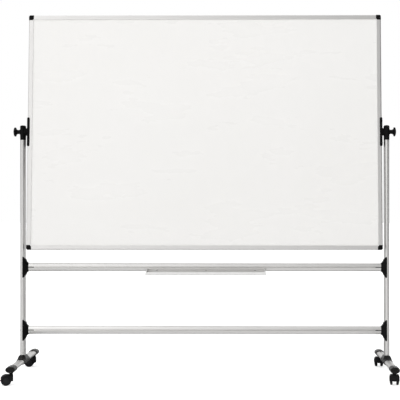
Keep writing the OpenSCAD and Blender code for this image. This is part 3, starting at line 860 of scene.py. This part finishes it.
def bracket(name):
    """Channel on the right edge of the board that carries the hub"""
    low, high = board_box("right_pivot_bracket")
    frame_low, frame_high = board_box("right_frame_rail")
    end_r = (high.x - low.x) / 2 - 0.1
    outline = rounded([
        (low.z, low.x, end_r), (high.z, low.x, end_r), (high.z, high.x, end_r), (low.z, high.x, end_r),
    ], 10)
    obj = to_object(name, prism(outline, low.y, high.y, "y"))
    bevel(obj, 1.0, 3)
    rail_room = block(
        (low.x - 5, frame_low.y - 0.05, low.z - 5), (frame_high.x, frame_high.y + 0.05, high.z + 5),
    )
    tools = [rail_room, moved(rod(8, low.x, high.x + 5), along("x", (0, 0, PIVOT_Z)))]
    for points in solids("bracket_screws"):
        screw_low, screw_high = spread([LEAN.inverted() @ point for point in points])
        if screw_high.x > 0:
            z = (screw_low.z + screw_high.z) / 2
            tools.append(moved(rod(2.05, low.x, high.x + 5, 24), along("x", (0, 0, z))))
    return cut(obj, *tools)


def hub(name):
    """Flanged journal of the right pivot"""
    low, high = box("right_pivot_hub")
    face = box("right_pivot_bracket")[1].x
    journal_len, step = 31.5, 1.2
    bore_r, spigot_r, journal_r, shoulder_r, flange_r = 5.05, 8, 10, 14, 20
    flange = box("pivot_bushes")[1].x - journal_len
    profile = rounded([
        (bore_r, low.x + 5, 0), (bore_r, high.x, 0.5), (journal_r, high.x, 0.8), (journal_r, flange, 0.5),
        (shoulder_r, flange, 0.6), (shoulder_r, flange - step, 0.5), (flange_r, flange - step, 1.4),
        (flange_r, face, 1.0), (spigot_r, face, 0), (spigot_r, low.x, 0.5), (0, low.x, 0), (0, low.x + 5, 0),
    ])
    return to_object(name, moved(lathe(profile), along("x", (0, 0, PIVOT_Z))))


def washer(name):
    low, high = box("right_clamp_washer")
    profile = rounded([(5.05, low.x, 0.2), (13, low.x, 0.4), (13, high.x, 0.4), (5.05, high.x, 0.2)], 3)
    return to_object(name, moved(lathe(profile), along("x", (0, 0, PIVOT_Z))))


def knob(name):
    """Mushroom clamp knob with a concave flare, a finger groove and a domed face"""
    low, high = box("right_clamp_knob")
    base = box("right_clamp_washer")[1].x + 0.05
    head_r, neck_r, flare_r = (high.z - low.z) / 2, 10.5, 12.0
    flare_from = base + 7
    rim_from = flare_from + flare_r
    rim_to = high.x - 5
    dome = high.x - rim_to
    dome_r = (head_r ** 2 + dome ** 2) / (2 * dome)
    profile = [(0, base), (neck_r - 0.6, base), (neck_r, base + 0.6), (neck_r, flare_from)]
    for k in range(1, 11):
        a = math.pi / 2 * k / 10 * 0.93
        profile.append((neck_r + flare_r * (1 - math.cos(a)), flare_from + flare_r * math.sin(a)))
    lip = profile[-1][1]
    profile += rounded([
        (neck_r + flare_r - 0.3, lip + 0.2, 0.3), (head_r, rim_from, 0.9), (head_r, rim_to, 2.2),
        (head_r * 0.8, rim_to + dome * 0.42, 3.0),
    ], 5)[1:]
    edge = math.asin(0.72 * head_r / dome_r)
    for k in range(12):
        a = edge * (1 - k / 12)
        profile.append((dome_r * math.sin(a), high.x - dome_r * (1 - math.cos(a))))
    profile.append((0, high.x))
    obj = to_object(name, moved(lathe(profile, 96), along("x", (0, 0, PIVOT_Z))))
    stud = moved(rod(5, low.x, base + 2, 36), along("x", (0, 0, PIVOT_Z)))
    return add(obj, stud)


# ---- Casters, drawn with the stem on Z and the wheels towards +X ----

# Outlines of (radius, distance from the caster's middle)
WHEEL_SIDE = [(25.0, 16.0), (24.4, 18.4), (22.4, 20.2), (18.0, 21.9)]
HOOD_SIDE = [(28.2, 13.5), (27.6, 17.6), (26.0, 20.2), (23.2, 22.2), (19.4, 23.6), (16.5, 24.2)]


def caster_hood(trail, wheel_r):
    """Arched shell over the twin wheels, with the stem's boss and the middle web"""
    web, opening_r, cavity_r = 8.5, 16.5, wheel_r + 0.8
    axle = (trail, 0, wheel_r)
    front, skirt, tail = -10.0, 20.0, trail + 22
    side = [(r, y, 4) for r, y in HOOD_SIDE[1:-1]]
    widest = HOOD_SIDE[-1][1]
    shell = rounded([(0, -widest, 0), (opening_r, -widest, 0.5)] + [(r, -y, q) for r, y, q in reversed(side)]
                    + [(HOOD_SIDE[0][0], -13.5, 4), (HOOD_SIDE[0][0], 13.5, 4)] + side
                    + [(opening_r, widest, 0.5), (0, widest, 0)], 5)
    obj = to_object("hood", moved(lathe(shell, 96), along("y", axle)))
    half = [(y, wheel_r + r, 4) for r, y in HOOD_SIDE]
    rings = []
    for inset, depth in fillet(4, 6):
        grow = 1 - inset / 30
        right = [(y * grow, z - inset * 0.8, q) for y, z, q in half] + [(widest * grow, 10, 0)]
        left = [(-y, z, q) for y, z, q in reversed(right)]
        arch = rounded(right + left, 4)
        rings.append([(front + depth, y, z) for y, z in arch])
    rings.append([(trail, y, z) for _, y, z in rings[-1]])
    add(obj, loft(rings))
    below = [(-10, front - 5), (skirt + 3.5, front - 5), (skirt, trail), (skirt, 90), (-10, 90)]
    cut(obj, prism(below, -40, 40, "y"), block((tail, -40, -10), (90, 40, 36)))
    for s in (-1, 1):
        inner = [(r + 0.9, y + 0.5, 3) for r, y in WHEEL_SIDE]
        cavity = lathe(rounded([(0, web, 0), (cavity_r, web, 0.6)] + inner
                               + [(opening_r, 22.6, 0), (opening_r, 30, 0), (0, 30, 0)], 5), 96)
        cut(obj, moved(cavity, along("y" if s > 0 else "-y", axle)))
    hub_web = rounded([(0, -web, 0), (5.5, -web, 0.5), (5.5, web, 0.5), (0, web, 0)], 3)
    boss = rounded([(0, skirt + 1, 0), (8.4, skirt + 1, 0.8), (8.4, 58.2, 1.0), (0, 58.2, 0)], 4)
    add(obj, moved(lathe(hub_web), along("y", axle)), lathe(boss))
    room = to_object("room", moved(rod(cavity_r, -4.1, 4.1, 96), along("y", axle)))
    combine(room, block((trail + 10, -20, -10), (90, 20, 90)), "INTERSECT")
    cut(obj, in_mm(room))
    remove(room)
    return obj


def caster_wheels(trail, wheel_r):
    """Twin wheels with domed sides, a ring groove and a domed hub cap"""
    inner = 9.3
    profile = rounded([(0, inner, 0), (wheel_r, inner, 0.9)] + [(r, y, 2.5) for r, y in WHEEL_SIDE] + [
        (15.6, 22.6, 1.2), (15.0, 20.8, 0.6), (14.2, 20.8, 0.6), (13.6, 22.6, 1.0),
        (8, 23.4, 4), (0, 23.8, 0),
    ], 5)
    parts = [moved(lathe(profile, 96), along(axis, (trail, 0, wheel_r))) for axis in ("y", "-y")]
    return to_object("wheels", joined(*parts))


def caster_pedal(trail):
    """Brake pedal: a curved arm between the wheels and a rounded pad behind them"""
    pin_x, pin_z, arm_half, pad_half = trail + 16, 27.0, 3.8, 14.0
    pad_from, pad_to = trail + 27.5, trail + 34
    arm = rounded([
        (pin_z + 4.5, pin_x - 4.0, 4), (pin_z + 4.5, pin_x + 4, 4), (pin_z + 0.5, pin_x + 9, 3),
        (pin_z + 0.5, pad_from + 1.5, 0.5), (pin_z - 4.6, pad_from + 1.5, 0.5), (pin_z - 4.6, pin_x - 1, 4),
    ])
    obj = to_object("pedal", prism(arm, -arm_half, arm_half, "y"))
    bevel(obj, 0.6)
    pad = rounded([
        (pin_z - 5, pad_from, 1.2), (pin_z + 0.5, pad_from, 1.2), (pin_z - 0.6, pad_to, 2.0),
        (pin_z - 4.6, pad_to, 1.6),
    ])
    plate = to_object("pad", prism(pad, -pad_half, pad_half, "y"))
    bevel(plate, 1.2, 4)
    pin = moved(rod(2, -8.3, 8.3, 32), along("y", (pin_x, 0, pin_z)))
    add(obj, in_mm(plate), pin)
    remove(plate)
    return obj


def casters():
    corners = [(a, b) for a in ("front", "rear") for b in ("left", "right")]
    first = joint_place("front_left_roll") - joint_place("front_left_swivel")
    trail, wheel_r = math.hypot(first.x, first.y), joint_place("front_left_roll").z
    hood, wheels, pedal = caster_hood(trail, wheel_r), caster_wheels(trail, wheel_r), caster_pedal(trail)
    for end, side in corners:
        name = f"{end}_{side}"
        stem = joint_place(f"{name}_swivel")
        heading = joint_place(f"{name}_roll") - stem
        place = Matrix.Translation((stem.x, stem.y, 0)) \
            @ Matrix.Rotation(math.atan2(heading.y, heading.x), 4, "Z")
        fit(instance(f"{name}_hood_shell", hood, place), f"{name}_caster", "black_plastic", HOOD,
            f"{name}_caster_hood")
        fit(instance(f"{name}_twin_wheels", wheels, place), f"{name}_wheels", "wheel_nylon", NYLON,
            f"{name}_caster_wheels")
        fit(instance(f"{name}_brake_pedal", pedal, place), f"{name}_brake", "grey_plastic", GREY,
            f"{name}_caster_brake")
    for source in (hood, wheels, pedal):
        remove(source)


# ---- Assembly ----

def both_sides(source, name, turn=Matrix()):
    """The right piece as drawn, and its mirror image for the left"""
    yield "right", instance(name.format("right"), source, turn)
    yield "left", instance(name.format("left"), source, turn @ Matrix.Diagonal((-1, 1, 1, 1)))


def build_stand():
    for level in ("upper", "lower"):
        low, high = box(f"{level}_rail")
        source = connector("connector", (low.z + high.z) / 2)
        for side, obj in both_sides(source, f"{level}_{{}}_bell"):
            fit(obj, "stand", "black_plastic", BLACK, f"{level}_{side}_connector")
        remove(source)
    source = foot_cap("cap")
    for side, obj in both_sides(source, "rear_{}_foot_cap"):
        fit(obj, "stand", "grey_plastic", GREY, "foot_end_caps")
        front = instance(f"front_{side}_foot_cap", obj, Matrix.Diagonal((1, -1, 1, 1)))
        fit(front, "stand", "grey_plastic", GREY, "foot_end_caps")
    remove(source)
    source = saddle("saddle")
    for side, obj in both_sides(source, "{}_saddle_moulding"):
        fit(obj, "stand", "grey_plastic", GREY, f"{side}_foot_saddle")
    remove(source)
    source = housing("housing")
    for side, obj in both_sides(source, "{}_pivot_head"):
        fit(obj, "stand", "black_plastic", BLACK, f"{side}_pivot_housing")
    remove(source)
    for side, sign in SIDES.items():
        fit(tray_end(f"{side}_tray_end", sign), "stand", "light_plastic", PALE, "tray_end_caps")
    fit(tray_strip("tray_front_strip"), "stand", "light_plastic", PALE, "tray_end_caps")
    fit(tray_wall("tray_extrusion"), "stand", "anodised_aluminium", ALUMINIUM["x"], "pen_tray", angle=25)
    for node, axis in TUBES.items():
        obj = tube(f"{node}_grooved", node, axis)
        fit(obj, "stand", "anodised_aluminium", ALUMINIUM[axis], node, angle=25)
    screws("frame_bolts", "hex", "stand", "zinc_steel", ZINC)
    screws("stand_screws", "cross", "stand", "blackened_steel", DARK_STEEL)


def build_board():
    for side, sign in SIDES.items():
        for level in ("top", "bottom"):
            obj = corner_cap(f"{level}_{side}_corner_cap", sign, level == "top")
            fit(obj, "board", "black_plastic", BLACK, "corner_caps")
    source = bracket("bracket")
    for side, obj in both_sides(source, "{}_channel_bracket", LEAN):
        fit(obj, "board", "black_plastic", BLACK, f"{side}_pivot_bracket")
    remove(source)
    source = hub("hub")
    for side, obj in both_sides(source, "{}_turned_hub"):
        fit(obj, "board", "blackened_steel", DARK_STEEL, f"{side}_pivot_hub")
    remove(source)
    screws("bracket_screws", "cross", "board", "blackened_steel", DARK_STEEL)


def build_clamps():
    source = washer("washer")
    for side, obj in both_sides(source, "{}_thrust_washer"):
        fit(obj, f"{side}_washer", "blackened_steel", DARK_STEEL, f"{side}_clamp_washer")
    remove(source)
    source = knob("knob")
    for side, obj in both_sides(source, "{}_mushroom_knob"):
        fit(obj, f"{side}_knob", "black_plastic", BLACK, f"{side}_clamp_knob")
    remove(source)


def finish_cad_nodes():
    """Procedural materials on the CAD nodes that stay as they are"""
    along_axis = {"left_frame_rail": "z", "right_frame_rail": "z"}
    by_slot = {
        "black_plastic": BLACK, "grey_plastic": GREY, "light_plastic": PALE, "wheel_nylon": NYLON,
        "writing_surface": ENAMEL, "honeycomb_card": CARD, "zinc_steel": ZINC, "blackened_steel": DARK_STEEL,
    }
    for name, node in NODES.items():
        if node.hide_render:
            continue
        for slot in node.material_slots:
            if slot.material.name.startswith("anodised_aluminium"):
                kind = FRAME_ALUMINIUM if "frame_rail" in name else ALUMINIUM
                slot.material = kind[along_axis.get(name, "x")]
            else:
                slot.material = by_slot[slot.material.name.split(".")[0]]


# ---- Studio ----

# The floor's two tones, and the stretches in Y, in metres, where it darkens and grows pale again
FLOOR_TONES = ((0.25, 0.25, 0.25), (0.88, 0.88, 0.88))
FLOOR_DARK_FROM = (0.06, 0.2)
FLOOR_DARK_TO = (0.7, 1.3)
FLOOR_GLOW = 0.62
# Brightness of the surroundings: left and right, middle and side, level and overhead
WORLD_FRONT = (1.52, 0.16)
WORLD_BACK = (0.68, 0.84)
WORLD_SIDES = (0.96, 0.50)
WORLD_LEVEL_ABOVE = (1.0, 1.3)
KEY_PLACE = (-1.0, -10.0, 6.0)
KEY_SIZE = (5.0, 5.0)
KEY_WATTS = 285
CAMERA_PLACE = (0.1881, -5.2, 0.9124)
CAMERA_TURN = 0.5  # degrees to the left of +Y
CAMERA_LENS = 91.976
CAMERA_SHIFT = (-0.08145, -0.00925)


def studio_floor():
    """Floor that the camera sees pale and glowing a little, so only faint contact shadows show.

    Reflections and bounced light see it dark in a strip behind the stand, which shades the tubes.
    """
    s = Surface("studio_floor", (0.9, 0.9, 0.9), specular=0.0)
    path = s.tree.nodes.new("ShaderNodeLightPath")
    split = s.tree.nodes.new("ShaderNodeSeparateXYZ")
    s.link(s.coords, split.inputs["Vector"])
    near = s.remap(split.outputs["Y"], 1.0, 0.0, *FLOOR_DARK_FROM)
    pale = s.math("MAXIMUM", near, s.remap(split.outputs["Y"], 0.0, 1.0, *FLOOR_DARK_TO))
    tone = s.math("MAXIMUM", s.math("MULTIPLY", path.outputs["Is Camera Ray"], 0.8), pale)
    s.colour(s.math("MULTIPLY", tone, s.remap(s.noise(0.8), 0.98, 1.0)), *FLOOR_TONES, 0.0, 1.0)
    s.roughness(s.noise(3), 0.9, 1.0)
    s.shader.inputs["Emission Color"].default_value = (1, 1, 1, 1)
    glow = s.math("MULTIPLY", path.outputs["Is Camera Ray"], FLOOR_GLOW)
    s.link(glow, s.shader.inputs["Emission Strength"])
    reach = 30000
    floor = to_object("floor", block((-reach, -reach, -20), (reach, reach, -0.05)))
    floor.data.materials.append(s.material)


def studio_world():
    """Surroundings that the camera sees plain white.

    Light and reflections see them bright at the left front, nearly dark at the right front and even
    behind, dimmer to both sides and brighter overhead, which shades the tubes from left to right.
    """
    world = bpy.data.worlds.new("studio")
    scene.world = world
    world.use_nodes = True
    tree = world.node_tree
    background = tree.nodes["Background"]
    coords = tree.nodes.new("ShaderNodeTexCoord")
    split = tree.nodes.new("ShaderNodeSeparateXYZ")
    tree.links.new(coords.outputs["Generated"], split.inputs["Vector"])

    def maths(operation, *values):
        node = tree.nodes.new("ShaderNodeMath")
        node.operation = operation
        for socket, value in zip(node.inputs, values):
            tree.links.new(value, socket)
        return node.outputs["Value"]

    def ramp(value, start, end, low, high):
        node = tree.nodes.new("ShaderNodeMapRange")
        node.interpolation_type = "SMOOTHSTEP"
        node.inputs["From Min"].default_value = start
        node.inputs["From Max"].default_value = end
        node.inputs["To Min"].default_value = low
        node.inputs["To Max"].default_value = high
        tree.links.new(value, node.inputs["Value"])
        return node.outputs["Result"]

    front = ramp(split.outputs["X"], -0.45, 0.45, *WORLD_FRONT)
    back = ramp(split.outputs["X"], -1.0, 1.0, *WORLD_BACK)
    behind = ramp(split.outputs["Y"], -0.3, 0.3, 0.0, 1.0)
    blend = tree.nodes.new("ShaderNodeMix")
    tree.links.new(front, blend.inputs["A"])
    tree.links.new(back, blend.inputs["B"])
    tree.links.new(behind, blend.inputs["Factor"])
    sides = ramp(maths("ABSOLUTE", split.outputs["X"]), 0.2, 0.95, *WORLD_SIDES)
    above = ramp(split.outputs["Z"], 0.0, 1.0, *WORLD_LEVEL_ABOVE)
    product = maths("MULTIPLY", maths("MULTIPLY", blend.outputs["Result"], sides), above)
    path = tree.nodes.new("ShaderNodeLightPath")
    mix = tree.nodes.new("ShaderNodeMix")
    mix.inputs["B"].default_value = 1.0
    tree.links.new(product, mix.inputs["A"])
    tree.links.new(path.outputs["Is Camera Ray"], mix.inputs["Factor"])
    tree.links.new(mix.outputs["Result"], background.inputs["Strength"])
    background.inputs["Color"].default_value = (1, 1, 1, 1)


def area_light(name, place, target, size, power):
    """Soft light that shows in no reflection"""
    data = bpy.data.lights.new(name, "AREA")
    data.shape = "RECTANGLE"
    data.size, data.size_y = size
    data.energy = power
    light = bpy.data.objects.new(name, data)
    scene.collection.objects.link(light)
    light.location = place
    light.visible_glossy = False
    light.rotation_euler = (Vector(target) - Vector(place)).to_track_quat("-Z", "Y").to_euler()


def studio_lights():
    low, high = cad_box
    middle = (low + high) / 2
    area_light("key", KEY_PLACE, middle, KEY_SIZE, KEY_WATTS)


def camera():
    data = bpy.data.cameras.new("camera")
    data.sensor_width = 36
    data.lens = CAMERA_LENS
    data.shift_x, data.shift_y = CAMERA_SHIFT
    obj = bpy.data.objects.new("camera", data)
    scene.collection.objects.link(obj)
    obj.location = CAMERA_PLACE
    obj.rotation_euler = (math.radians(90), 0, math.radians(CAMERA_TURN))
    scene.camera = obj


camera()
studio_world()
studio_lights()
studio_floor()
scene.view_settings.view_transform = "Standard"
build_stand()
build_board()
build_clamps()
casters()
finish_cad_nodes()
